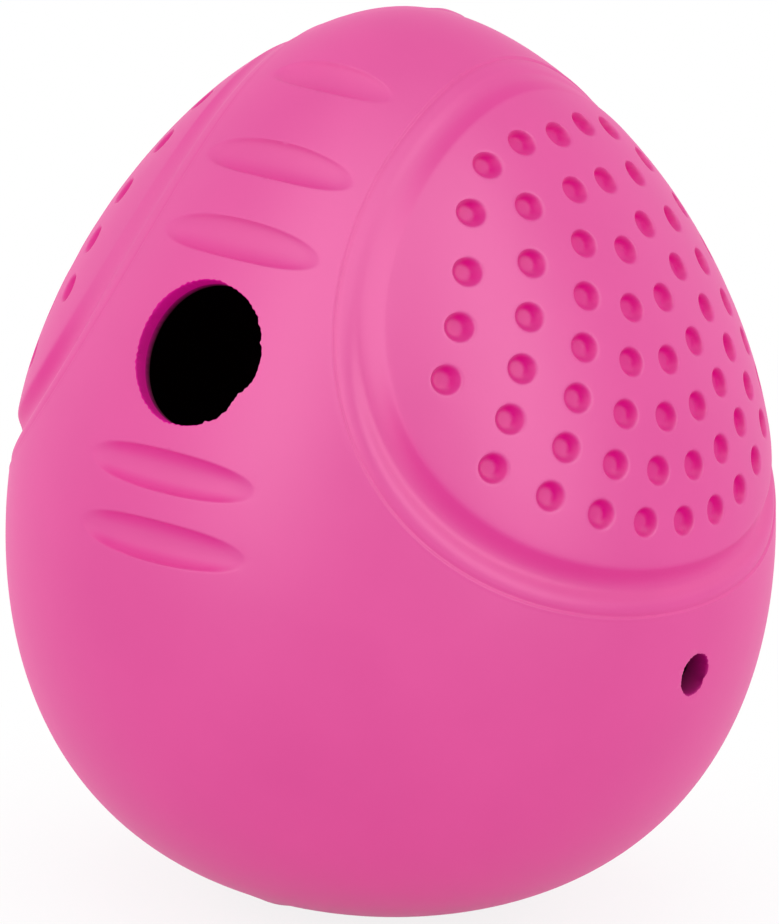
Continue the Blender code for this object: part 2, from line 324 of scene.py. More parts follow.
class PanelShape:
    """Relief of the side panels and the places of their dimples."""

    def __init__(self, egg, panel, dimple):
        self.egg = egg
        self.panel = panel
        self.dimple = dimple
        self.arc_height = egg.crown - panel.arc_drop
        self.under, self.beside = [
            smoothed(LEVEL_TABLE, *(np.array(levels).T * MM), panel.softness)
            for levels in (LEVELS_UNDER, LEVELS_BESIDE)
        ]

    def offsets(self, points):
        """Distances inside the outline, measured in the front view."""
        x = np.abs(points[..., 0])
        z = points[..., 2]
        across = self.panel.line + self.panel.arc_radius - x
        arc = self.panel.arc_radius - np.hypot(across, self.arc_height - z)
        return np.where(z >= self.arc_height, x - self.panel.line, arc)

    def slopes(self, points, normals):
        """How fast the distance inside the outline grows up the skin at each point."""
        up = UP - normals[:, 2:3] * normals
        up /= np.maximum(np.linalg.norm(up, axis=1)[:, None], LEAST_UP)
        gain = self.offsets(points + up * SLOPE_STEP) - self.offsets(points - up * SLOPE_STEP)
        return gain / (2.0 * SLOPE_STEP)

    def relief(self, points, normals):
        """Height over the plain egg; the channel is deepest under the pad."""
        under = eased(self.slopes(points, normals), *UNDER_SLOPES)
        offsets = self.offsets(points)
        beside = np.interp(offsets, LEVEL_TABLE, self.beside)
        return beside + under * (np.interp(offsets, LEVEL_TABLE, self.under) - beside)

    def dimple_spot(self, ring, angle):
        reach = self.dimple.ring_pitch * ring
        middle = self.egg.crown - self.dimple.ring_drop
        return reach * math.sin(angle), middle - reach * math.cos(angle)

    def axes(self, middles):
        """Outward axes of the dimples, between the skin's normal and the way the mould opens."""
        axes = self.egg.normals(middles) * (1.0 - self.dimple.lean)
        axes[:, 0] += self.dimple.lean
        return unit_rows(axes)

    def clears_edge(self, ring, angle):
        y, height = self.dimple_spot(ring, angle)
        if height >= self.egg.crown or self.egg.square(height) <= y * y:
            return False
        least = self.panel.pad_offset + self.dimple.margin
        return bool(self.offsets(self.egg.side_points(y, height)) > least)

    def slide(self, ring, angle, slot):
        """How far a dimple slides down its ring to clear the pad's edge."""
        if self.clears_edge(ring, angle):
            return 0.0
        return float(bisect(0.0, slot / 2.0, lambda turn: self.clears_edge(ring, angle - turn)))

    def dimples(self):
        """Middles of the dimples on the +X pad, ring after ring."""
        spots = [self.dimple_spot(0, 0.0)]
        for ring in range(1, self.dimple.ring_count + 1):
            slot = TURN / (self.dimple.slots * ring)
            angle = slot / 2.0 * (ring % 2)
            while angle < math.pi and self.clears_edge(ring, max(angle - slot / 2.0, 0.0)):
                y, height = self.dimple_spot(ring, angle - self.slide(ring, angle, slot))
                spots.append((y, height))
                if y > self.dimple.radius:
                    spots.append((-y, height))
                angle += slot
        spots = np.array(spots)
        return self.egg.side_points(spots[:, 0], spots[:, 1])


# Distance from a dimple's middle in radii, and the share of its depth there.
DIMPLE_SHARES = (
    (0.00, 1.00), (0.40, 0.99), (0.54, 0.95), (0.66, 0.84), (0.77, 0.65), (0.87, 0.38),
    (0.94, 0.18), (1.00, 0.06), (1.05, 0.01), (1.12, 0.0),
)
DIMPLE_TABLE = np.linspace(-1.5, 3.0, 3001)
DIMPLE_REACH = 1.6


def dimple_depths(points, middles, normals, axes, dimple):
    """Depth of the dimples at each point, each a leaning bowl with a flat floor."""
    reaches, shares = np.array(DIMPLE_SHARES).T
    table = DIMPLE_TABLE * dimple.radius
    places = np.concatenate([-reaches[:0:-1], reaches]) * dimple.radius
    profile = np.concatenate([shares[:0:-1], shares]) * dimple.depth
    profile = smoothed(table, places, profile, dimple.rim)
    depths = np.zeros(len(points))
    for middle, normal, axis in zip(middles, normals, axes):
        near, spots = gaps_across(points, middle, normal, DIMPLE_REACH * dimple.radius)
        drift = axis / (axis @ normal) - normal

        def past_floor(depth):
            apart = np.linalg.norm(spots + depth[:, None] * drift, axis=1)
            return np.interp(apart, table, profile) <= depth

        start = np.zeros(len(spots))
        depths[near] += bisect(start, start + dimple.depth, past_floor)
    return depths


def groove_spots(egg, groove, bore):
    """Height and depth of each groove, from the topmost down."""
    opening = egg.crown - bore.opening_drop
    heights = [opening + groove.upper_rise + groove.pitch * i for i in range(groove.upper_count)]
    heights = heights[::-1]
    heights += [opening - groove.lower_drop - groove.pitch * i for i in range(groove.lower_count)]
    return [(height, groove.depth if i else groove.top_depth) for i, height in enumerate(heights)]


def front_frame(egg, height):
    """Point on the front's middle line and its outward normal."""
    point = np.array([[0.0, -float(egg.radius(height)), height]])
    return point[0], egg.normals(point)[0]


def groove_cuts(points, normals, egg, groove, height, depth):
    """How far a level cylinder reaches under the plain egg at each point, along its normal."""
    surface, normal = front_frame(egg, height)
    axis = surface + normal * (groove.radius - depth)
    gap = points[:, 1:] - axis[1:]
    out = normals[:, 1:]
    along = (gap * out).sum(1)
    size = (out**2).sum(1)
    root = along**2 - size * ((gap**2).sum(1) - groove.radius**2)
    cuts = (along + np.sqrt(np.maximum(root, 0.0))) / size
    return np.where(along < 0.0, cuts, -groove.radius)


# How far from a groove its cut is worked out, in radii, up or down and to the side.
GROOVE_RISE_REACH, GROOVE_SIDE_REACH = 3.0, 7.0
FLOOR_ROUNDING = 0.1 * MM


def groove_depths(points, normals, egg, groove, grooves):
    """Depth of the grooves at each point, each with a steep wall and a flatter floor."""
    depths = np.zeros(len(points))
    for height, depth in grooves:
        near = points[:, 1] < 0.0
        near &= np.abs(points[:, 2] - height) < GROOVE_RISE_REACH * groove.radius
        near &= np.abs(points[:, 0]) < GROOVE_SIDE_REACH * groove.radius
        cut = groove_cuts(points[near], normals[near], egg, groove, height, depth)
        soft = soft_above_zero(cut, groove.rim) - soft_above_zero(-2.0 * groove.rim, groove.rim)
        flat = soft - groove.flatness * soft_above_zero(soft - groove.wall, FLOOR_ROUNDING)
        depths[near] = np.maximum(depths[near], flat)
    return depths


# Height of the chart's middle, as a share of the crown's.
CHART_HEIGHT = 0.665
CHART_ANGLES = np.linspace(-math.pi, math.pi, 14401)
CHART_MERGE = 1e-9


class HalfChart:
    """Flat chart of the +X half, a disc whose rim is the joint plane."""

    def __init__(self, egg):
        self.egg = egg
        self.centre = egg.crown * CHART_HEIGHT
        sines, cosines = np.sin(CHART_ANGLES), np.cos(CHART_ANGLES)

        def outside(reach):
            heights = self.centre + reach * cosines
            misses = (heights > egg.crown) | (heights < egg.pole)
            return misses | (egg.square(heights) < (reach * sines) ** 2)

        start = np.zeros_like(CHART_ANGLES)
        self.reaches = bisect(start, start + egg.crown, outside)

    def limits(self, angles):
        return np.interp(angles, CHART_ANGLES, self.reaches)

    def spots(self, points):
        y = points[:, 1]
        z = points[:, 2] - self.centre
        angles = np.arctan2(y, z)
        shares = np.hypot(y, z) / self.limits(angles)
        turns = np.arcsin(np.clip(shares, 0.0, 1.0)) / (math.pi / 2.0)
        turns = np.where(points[:, 0] <= 0.0, 1.0, turns)
        return np.stack([turns * np.sin(angles), turns * np.cos(angles)], axis=1)

    def loop(self, panel, offset, count):
        """Points round the panel at one distance inside its outline."""
        angles = np.arange(count) * (TURN / count) - math.pi
        sines, cosines = np.sin(angles), np.cos(angles)

        def spot(reach):
            return self.egg.side_points(reach * sines, self.centre + reach * cosines)

        def past_offset(reach):
            return panel.offsets(spot(reach)) < offset

        return spot(bisect(np.zeros(count), self.limits(angles), past_offset))


# Spacing of the points on the joint line in facets, first up the front and then up the back.
JOINT_STEPS = ((-1.0, 0.25), (1.0, 0.5))


def joint_line_points(egg, facet):
    """Points round the joint plane: finer up the front, where the grooves cross it."""
    total = egg.lengths[-1]
    rows = []
    for side, step in JOINT_STEPS:
        count = int(total / (facet * step))
        lengths = np.linspace(0.0, total, count + 1)[1:-1]
        heights = np.interp(lengths, egg.lengths, egg.heights)
        rows.append(np.stack([heights * 0.0, side * egg.radius(heights), heights], axis=1))
    poles = np.array([[0.0, 0.0, egg.pole], [0.0, 0.0, egg.crown]])
    return np.concatenate(rows + [poles])


def plain_points(egg, facet):
    """Even points over the +X half, in level rings."""
    rings = []
    for index, run in enumerate(np.arange(facet / 2.0, egg.lengths[-1], facet)):
        height = float(np.interp(run, egg.lengths, egg.heights))
        radius = float(egg.radius(height))
        count = max(int(math.pi * radius / facet), 1)
        start = 0.5 if index % 2 else 0.25
        turns = (np.arange(count) + start) / count * math.pi - math.pi / 2.0
        x, y = np.cos(turns) * radius, np.sin(turns) * radius
        rings.append(np.stack([x, y, turns * 0.0 + height], axis=1))
    return np.concatenate(rings)


# Flash on the joint line: its width, where it rises and falls behind the crown, its middle and
# spread low on the front, its crests in millimetres, and the patch and the finer points behind.
FLASH_WIDTH = 0.45 * MM
FLASH_RISE, FLASH_FALL = (2.5 * MM, 7.0 * MM), (9.4 * MM, 10.8 * MM)
FLASH_FOOT, FLASH_FOOT_SPREAD = 2.2 * MM, 1.5 * MM
FOOT_CREST, CROWN_CREST = 0.22, 0.28
FLASH_PATCH_SIDE, FLASH_PATCH_START, FLASH_PATCH_END = 1.5 * MM, 1.2 * MM, 12.3 * MM
FLASH_COLUMNS = [0.3 * MM, 0.65 * MM, 1.1 * MM]
FLASH_ROWS = np.arange(1.5, 12.0, 0.35) * MM
FLASH_LOWEST, FLASH_LEVELS = 0.85, 800


def joint_flash(points, egg):
    """Faint ridge of flash left where the trimming of the joint stopped short."""
    x, y, z = points.T
    ridge = np.exp(-((x / FLASH_WIDTH) ** 2))
    foot = (y < 0.0) * np.exp(-(((z - FLASH_FOOT) / FLASH_FOOT_SPREAD) ** 2))
    crown = eased(y, *FLASH_RISE) * (1.0 - eased(y, *FLASH_FALL)) * (z > egg.crown / 2.0)
    return ridge * (FOOT_CREST * foot + CROWN_CREST * crown) * MM


def flash_points(egg):
    """Close points beside the ridge of flash behind the crown."""
    x, y = np.meshgrid(FLASH_COLUMNS, FLASH_ROWS)
    x, y = x.ravel(), y.ravel()
    highs = np.linspace(egg.crown * FLASH_LOWEST, egg.crown, FLASH_LEVELS)
    z = np.interp(-np.hypot(x, y), -egg.radius(highs), highs)
    return np.stack([x, np.sqrt(egg.square(z) - x * x), z], axis=1)


def near_flash(egg, points):
    """Which points lie where the flash has finer ones."""
    x, y, z = points.T
    near = (x < FLASH_PATCH_SIDE) & (y > FLASH_PATCH_START) & (y < FLASH_PATCH_END)
    return near & (z > egg.crown / 2.0)


# Rows of points along a groove, as shares of its half width, and the columns across it.
ROW_SHARES = (0.0, 0.22, 0.42, 0.58, 0.71, 0.81, 0.89, 0.95, 1.0, 1.05, 1.12, 1.24)
ROW_CLEARANCE = 0.3 * MM
COLUMN_START, COLUMN_STEP = 0.35 * MM, 0.36 * MM
COLUMN_REACH = 4.4
GROOVE_LEVELS = np.linspace(-1.4, 1.4, 561)
LEAST_HALF = 0.55 * MM


def groove_rows(egg, groove, height, depth):
    """Columns across a groove, and the middle and half width of the groove at each."""
    columns = np.arange(COLUMN_START, groove.radius * COLUMN_REACH, COLUMN_STEP)
    levels = height + GROOVE_LEVELS * groove.radius
    middles, halves = [], []
    for column in columns:
        seen = levels[egg.square(levels) > column**2]
        front = -np.sqrt(egg.square(seen) - column**2)
        points = np.stack([seen * 0.0 + column, front, seen], axis=1)
        cuts = groove_cuts(points, egg.normals(points), egg, groove, height, depth)
        under = np.nonzero(cuts > 0.0)[0]
        if len(under) > 1:
            ends = []
            for inner, outer in ((under[0], under[0] - 1), (under[-1], under[-1] + 1)):
                part = cuts[inner] / (cuts[inner] - cuts[outer])
                ends.append(seen[inner] + (seen[outer] - seen[inner]) * part)
            middles.append((ends[0] + ends[1]) / 2.0)
            halves.append(abs(ends[1] - ends[0]) / 2.0)
        else:
            middles.append(seen[np.argmax(cuts)])
            halves.append(0.0)
    return columns, np.array(middles), np.maximum(halves, LEAST_HALF)


def groove_points(egg, rows):
    """Rows of points along each groove that follow its edges."""
    points = []
    for columns, middles, halves in rows:
        for sign in (-1.0, 1.0):
            for row in ROW_SHARES[1 if sign > 0.0 else 0:]:
                z = middles + sign * row * halves
                on = egg.square(z) > columns**2
                x, z = columns[on], z[on]
                points.append(np.stack([x, -np.sqrt(egg.square(z) - x * x), z], axis=1))
    return np.concatenate(points)


def near_rows(points, rows):
    """Which points lie where a groove has rows of its own."""
    x, y, z = points.T
    near = np.zeros(len(points), bool)
    for columns, middles, halves in rows:
        reach = ROW_SHARES[-1] * np.interp(x, columns, halves) + ROW_CLEARANCE
        close = (y < 0.0) & (x < columns[-1] + ROW_CLEARANCE)
        near |= close & (np.abs(z - np.interp(x, columns, middles)) < reach)
    return near


# Rings of points in and round a dimple, as shares of its radius, and the room that they take.
BOWL_SHARES = (0.18, 0.36, 0.52, 0.66, 0.76, 0.85, 0.92, 0.97, 1.02, 1.10, 1.25)
BOWL_SIDES = 26
BOWL_REACH = 1.24
BOWL_CLEARANCE = 0.35 * MM
BOWL_LEVEL = 3.0 * MM


def dimple_loops(egg, middles, normals, dimple):
    """Rings of points in and round each dimple."""
    loops = []
    for middle, normal in zip(middles, normals):
        across = unit(np.cross(normal, UP))
        up = np.cross(across, normal)
        for index, share_out in enumerate(BOWL_SHARES):
            turns = (np.arange(BOWL_SIDES) + 0.5 * (index % 2)) * (TURN / BOWL_SIDES)
            reach = dimple.radius * share_out
            spots = middle + reach * (np.cos(turns)[:, None] * across + np.sin(turns)[:, None] * up)
            loops.append(egg.side_points(spots[:, 1], spots[:, 2]))
    return loops


def near_dimples(points, middles, normals, dimple):
    """Which points lie where a dimple has rings of its own."""
    near = np.zeros(len(points), bool)
    for middle, normal in zip(middles, normals):
        gap = points - middle
        along = gap @ normal
        apart = np.sqrt(np.maximum((gap**2).sum(1) - along**2, 0.0))
        close = apart <= dimple.radius * BOWL_REACH + BOWL_CLEARANCE
        near |= close & (np.abs(along) < BOWL_LEVEL)
    return near


# Places and the painted shade there, as deeper pink: over the channel in millimetres inside the
# outline, and over a dimple in radii, for the wedge by its upper rear wall, for its floor and for
# its walls.
CHANNEL_PAINTED_SHADE = ((2.3, 0.0), (2.9, 0.25), (3.5, 0.8), (4.0, 1.0), (4.4, 1.0), (4.85, 0.0))
WEDGE_PAINTED_SHADE = ((0.40, 0.0), (0.62, 1.0), (0.78, 0.82), (1.0, 0.48), (1.3, 0.25))
DIMPLE_FLOOR_PAINTED_SHADE = ((0.88, 0.46), (1.02, 0.0))
WALL_PAINTED_SHADE = ((0.88, 1.0), (1.04, 0.0))
# Way that the painted shade's wedge points across each dimple: up and to the back.
WEDGE_UP, WEDGE_BACK = 0.38, 0.92
WEDGE_EASE = (-0.15, 0.75)
PAINTED_SHADE_REACH = 1.3
LEAST_APART = 1e-9
# Strength of the painted shade, and the levels between which it grows, on edges that face down or
# up.
CHANNEL_DOWN, CHANNEL_UP = (0.40, 0.12, 0.42), (0.32, 0.15, 0.60)
LOWER_EDGE_DOWN, LOWER_EDGE_UP = (0.50, 0.10, 0.85), (0.46, 0.35, 0.80)
UPPER_EDGE_DOWN, UPPER_EDGE_UP = (0.08, 0.75, 0.95), (0.30, -0.10, 0.85)
# Where a groove's painted shade ends: past its edge, where it is narrow and at its ends.
EDGE_END, EDGE_FADE = 1.04, 0.12
NARROW, WIDE = 0.4 * MM, 1.6 * MM
END_FADE = (0.62, 0.97)


def grown(values, tone):
    """Painted shade that grows with the values to its strength."""
    strength, low, high = tone
    return strength * eased(values, low, high)


def channel_painted_shade(panel, points, normals):
    """Painted shade: deeper pink on the channel's inner wall, most where that wall faces down."""
    wall = looked_up(panel.offsets(points) / MM, CHANNEL_PAINTED_SHADE)
    slopes = panel.slopes(points, normals)
    return wall * (grown(slopes, CHANNEL_DOWN) + grown(-slopes, CHANNEL_UP))


def dimple_painted_shade(points, middles, normals, axes, dimple):
    """Painted shade: deeper pink in the dimples, deepest where the floor meets the upper rear wall.
    """
    painted_shades = np.zeros(len(points))
    for middle, normal, axis in zip(middles, normals, axes):
        near, spots = gaps_across(points, middle, normal, PAINTED_SHADE_REACH * dimple.radius)
        reach = np.linalg.norm(spots, axis=1) / dimple.radius
        spots += dimple.depth * (axis / (axis @ normal) - normal)
        apart = np.linalg.norm(spots, axis=1)
        up = unit(UP - normal[2] * normal)
        back = np.cross(up, normal)
        back *= np.sign(back[1])
        toward = (spots @ (up * WEDGE_UP + back * WEDGE_BACK)) / np.maximum(apart, LEAST_APART)
        wedge = looked_up(apart / dimple.radius, WEDGE_PAINTED_SHADE)
        floor = looked_up(reach, DIMPLE_FLOOR_PAINTED_SHADE)
        wall = looked_up(reach, WALL_PAINTED_SHADE) * wedge * eased(toward, *WEDGE_EASE)
        painted_shades[near] += floor + (1.0 - floor) * wall
    return painted_shades


def groove_painted_shade(points, rows, opening):
    """Painted shade: deeper pink on the steep edges of the grooves, where the sheen doesn't reach.
    """
    painted_shades = np.zeros(len(points))
    for columns, middles, halves in rows:
        half = np.interp(points[:, 0], columns, halves)
        level = (points[:, 2] - np.interp(points[:, 0], columns, middles)) / half
        on = (points[:, 1] < 0.0) & (np.abs(level) < EDGE_END) & (half > NARROW)
        if middles[0] < opening:
            tone = grown(level, LOWER_EDGE_DOWN) + grown(-level, LOWER_EDGE_UP)
        else:
            tone = grown(-level, UPPER_EDGE_UP) + grown(level, UPPER_EDGE_DOWN)
        fade = eased(EDGE_END - np.abs(level), 0.0, EDGE_FADE) * eased(half, NARROW, WIDE)
        fade *= 1.0 - eased(points[:, 0] / columns[-1], *END_FADE)
        painted_shades = np.maximum(painted_shades, on * tone * fade)
    return painted_shades


def ring_edges(start, loops):
    """Index pairs round each loop, for points that begin at start."""
    edges = []
    for loop in loops:
        count = len(loop)
        edges += [(start + i, start + (i + 1) % count) for i in range(count)]
        start += count
    return edges


# Distances inside a panel's outline of the loops of points round it, in millimetres.
LOOP_OFFSETS = (
    -0.50, -0.30, -0.17, -0.08, 0.0, 0.07, 0.14, 0.22, 0.31, 0.43, 0.62, 0.88, 1.15, 1.38, 1.58,
    1.78, 1.98, 2.18, 2.36, 2.54, 2.72, 2.92, 3.16, 3.40, 3.62, 3.82, 4.00, 4.16, 4.30, 4.42,
    4.52, 4.61, 4.70, 4.82, 5.10,
)
LOOP_POINTS = 480
# Room that plain points leave: beside the loops in millimetres, beside the joint in facets, and
# between the loops and the grooves' points in millimetres.
LOOP_ROOM, JOINT_ROOM, GROOVE_ROOM = 0.4, 0.4, 0.15


def chart_faces(chart, points, edges):
    """Triangles between the points, found on the flat chart, that keep to the edges."""
    spots = [Vector(spot) for spot in chart.spots(points)]
    found = delaunay_2d_cdt(spots, edges, [], 0, CHART_MERGE)
    origins = [ids[0] for ids in found[3]]
    return [[origins[corner] for corner in face] for face in found[2]]


def mirrored_mesh(points, faces, joint_count):
    """Closed mesh of the +X half and its mirror image, which share the points of the joint."""
    mesh = bmesh.new()
    right = [mesh.verts.new(point) for point in points]
    left = right[:joint_count]
    left += [mesh.verts.new((-x, y, z)) for x, y, z in points[joint_count:]]
    for face in faces:
        mesh.faces.new([right[corner] for corner in face])
        mesh.faces.new([left[corner] for corner in reversed(face)])
    bmesh.ops.delete(mesh, geom=[v for v in mesh.verts if not v.link_faces], context="VERTS")
    bmesh.ops.recalc_face_normals(mesh, faces=mesh.faces)
    return mesh


def egg_skin_mesh(scene):
    """Closed outer skin of the whole egg, and the painted shade, as deeper pink, at each point."""
    body = scene.treat_egg_body
    dimple = scene.treat_egg_dimple
    groove = scene.treat_egg_groove
    bore = scene.treat_egg_bore
    egg = EggShape(body)
    panel = PanelShape(egg, scene.treat_egg_panel, dimple)
    chart = HalfChart(egg)
    grooves = groove_spots(egg, groove, bore)
    middles = panel.dimples()
    middle_normals = egg.normals(middles)

    loops = [chart.loop(panel, offset * MM, LOOP_POINTS) for offset in LOOP_OFFSETS]
    loops += dimple_loops(egg, middles, middle_normals, dimple)
    joint = joint_line_points(egg, body.facet)
    rows = [groove_rows(egg, groove, height, depth) for height, depth in grooves]
    spread = groove_points(egg, rows)
    spread = spread[panel.offsets(spread) < (LOOP_OFFSETS[0] - GROOVE_ROOM) * MM]
    plain = plain_points(egg, body.facet)
    inside = panel.offsets(plain)
    keep = inside < (LOOP_OFFSETS[0] - LOOP_ROOM) * MM
    keep |= inside > (LOOP_OFFSETS[-1] + LOOP_ROOM) * MM
    keep &= plain[:, 0] > JOINT_ROOM * body.facet
    keep &= ~near_dimples(plain, middles, middle_normals, dimple)
    keep &= ~near_rows(plain, rows) & ~near_flash(egg, plain)
    loose = np.concatenate([joint, plain[keep], flash_points(egg), spread, middles])
    points = np.concatenate([loose] + loops)
    faces = chart_faces(chart, points, ring_edges(len(loose), loops))

    normals = egg.normals(points)
    dimples = (middles, middle_normals, panel.axes(middles), dimple)
    shift = panel.relief(points, normals)
    shift -= dimple_depths(points, *dimples)
    shift -= groove_depths(points, normals, egg, groove, grooves)
    shift += joint_flash(points, egg)
    lifted = points + normals * shift[:, None]
    lifted[: len(joint), 0] = 0.0
    lifted[:, 2] = np.maximum(lifted[:, 2], 0.0)
    painted_shades = channel_painted_shade(panel, points, normals)
    painted_shades = np.maximum(painted_shades, dimple_painted_shade(points, *dimples))
    painted_shades = np.maximum(painted_shades, groove_painted_shade(points, rows, egg.crown - bore.opening_drop))
    return mirrored_mesh(lifted, faces, len(joint)), egg, lifted, painted_shades


def object_from(name, mesh, materials, sharp_angle=RUBBER_SHARP):
    """Linked object from a bmesh, shaded smooth."""
    data = bpy.data.meshes.new(name)
    mesh.to_mesh(data)
    mesh.free()
    data.shade_smooth()
    data.set_sharp_from_angle(angle=sharp_angle)
    for material in materials:
        data.materials.append(material)
    item = bpy.data.objects.new(name, data)
    bpy.context.scene.collection.objects.link(item)
    return item


def turned_mesh(profile, sides):
    """Closed mesh turned about Z from (radius, height) pairs that begin and end on the axis."""
    mesh = bmesh.new()
    low = mesh.verts.new((0.0, 0.0, profile[0][1]))
    high = mesh.verts.new((0.0, 0.0, profile[-1][1]))
    turns = [TURN * (side + 0.5) / sides for side in range(sides)]
    rings = []
    for radius, height in profile[1:-1]:
        ring = [(radius * math.cos(turn), radius * math.sin(turn), height) for turn in turns]
        rings.append([mesh.verts.new(spot) for spot in ring])
    for side in range(sides):
        after = (side + 1) % sides
        mesh.faces.new((low, rings[0][after], rings[0][side]))
        mesh.faces.new((high, rings[-1][side], rings[-1][after]))
        for below, above in zip(rings, rings[1:]):
            mesh.faces.new((below[side], below[after], above[after], above[side]))
    bmesh.ops.recalc_face_normals(mesh, faces=mesh.faces)
    return mesh


# Film of cement between the rubber and the floor disc.
CEMENT = 0.3 * MM
HOLLOW_RINGS = 40


def hollow_mesh(egg, body):
    """The hollow inside the wall, down to the floor disc."""
    cover_low, cover_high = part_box("ballast_cover")
    seat = cover_high[0] + CEMENT
    foot = cover_low[2] - CEMENT
    floor = body.floor_height
    profile = [(0.0, foot), (seat, foot), (seat, floor)]
    rises = np.sin(np.linspace(0.0, math.pi / 2.0, HOLLOW_RINGS))[:-1]
    for height in floor + (egg.crown - floor) * rises:
        point = egg.side_points(np.zeros(1), np.array([height]))
        inner = (point - egg.normals(point) * body.wall)[0]
        profile.append((inner[0], max(inner[2], floor)))
    profile.append((0.0, egg.crown - body.wall))
    return turned_mesh(profile, TURNED_SIDES)


# Where round a punched edge its nicks and its one flap lie and how wide they are, in radians, and
# how deep they and the fine tears are beside the waves.
NICK_TURNS, NICK_WIDTH = (0.35, 0.62, 5.2, 5.47, 5.83), 0.03
FLAP_TURN, FLAP_WIDTH = 5.80, 0.22
TEAR_DEPTH, NICK_DEPTH, FLAP_DEPTH = 0.7, 1.3, 2.8


def ragged_radius(turns, radius, rag):
    """Radius of a punched hole over its turns, with the small tears of a worn punch."""
    waves = 0.35 * np.sin(3.0 * turns + 0.7) + 0.25 * np.sin(7.0 * turns + 2.1)
    tears = np.sin(23.0 * turns + 4.0) * np.sin(41.0 * turns + 1.0) * np.sin(5.0 * turns + 0.4)
    tears += 0.35 * np.sin(67.0 * turns) * np.sin(7.0 * turns)
    nicks = sum(np.exp(-(((turns - place) / NICK_WIDTH) ** 2)) for place in NICK_TURNS)
    flap = np.exp(-(((turns - FLAP_TURN) / FLAP_WIDTH) ** 4))
    return radius + (waves + TEAR_DEPTH * tears - NICK_DEPTH * nicks - FLAP_DEPTH * flap) * rag


# Rings of a punch from outside the egg inwards: distance out of the skin, in metres and in rims,
# flare in rims, and the share of the tears that shows.
PUNCH_RINGS = (
    (8.0 * MM, 0.0, 1.6, 1.0), (0.0, 0.25, 1.25, 1.0), (0.0, -0.1, 0.75, 1.0),
    (0.0, -0.5, 0.3, 0.9), (0.0, -1.2, 0.0, 0.7), (0.0, -3.5, 0.0, 0.35),
    (-1.3 * MM, 0.0, 0.0, 0.1), (-1.75 * MM, 0.0, 0.0, 0.0), (-1.95 * MM, 0.0, 0.0, 0.0),
    (-9.0 * MM, 0.0, 0.0, 0.0),
)
# Between these distances out of the punch's middle the skin is looked for.
SKIN_IN, SKIN_OUT = -6.0 * MM, 3.0 * MM
OPENING_RAG, OPENING_SIDES = 0.15 * MM, 360
VENT_RAG, VENT_SIDES = 0.10 * MM, 96


def punch_mesh(egg, point, normal, radius, rim, rag, sides):
    """Punch square to the skin, flared where it leaves the rubber so that the edge is rounded."""
    across = unit(np.cross(UP, normal))
    up = np.cross(normal, across)
    turns = np.arange(sides) * (TURN / sides)
    ragged = ragged_radius(turns, radius, rag)
    rays = np.cos(turns)[:, None] * across + np.sin(turns)[:, None] * up
    start = point + rays * ragged[:, None]

    def outside(runs):
        spots = start + normal * runs[:, None]
        return spots[:, 0] ** 2 + spots[:, 1] ** 2 > egg.square(spots[:, 2])

    levels = bisect(np.full(sides, SKIN_IN), np.full(sides, SKIN_OUT), outside)
    mesh = bmesh.new()
    rings = []
    for run, rims, flare, torn in PUNCH_RINGS:
        radii = radius + (ragged - radius) * torn + flare * rim
        spots = point + rays * radii[:, None] + normal * (levels + (run + rims * rim))[:, None]
        rings.append([mesh.verts.new(spot) for spot in spots])
    mesh.faces.new(rings[0])
    mesh.faces.new(rings[-1])
    for near, far in zip(rings, rings[1:]):
        for side in range(sides):
            after = (side + 1) % sides
            mesh.faces.new((near[side], near[after], far[after], far[side]))
    bmesh.ops.recalc_face_normals(mesh, faces=mesh.faces)
    return mesh


SLIVER = 0.003 * MM


def cut_with(item, cutters):
    """Cut the item with closed cutters, take out the slivers and remove the cutters."""
    for cutter in cutters:
        modifier = item.modifiers.new(cutter.name, "BOOLEAN")
        modifier.operation = "DIFFERENCE"
        modifier.solver = "MANIFOLD"
        modifier.object = cutter
    evaluated = item.evaluated_get(bpy.context.evaluated_depsgraph_get())
    data = bpy.data.meshes.new_from_object(evaluated)
    item.modifiers.clear()
    clean = bmesh.new()
    clean.from_mesh(data)
    bmesh.ops.dissolve_degenerate(clean, dist=SLIVER, edges=clean.edges)
    bmesh.ops.triangulate(clean, faces=[face for face in clean.faces if len(face.verts) > 3])
    clean.to_mesh(data)
    clean.free()
    item.data = data
    for cutter in cutters:
        bpy.data.objects.remove(cutter, do_unlink=True)


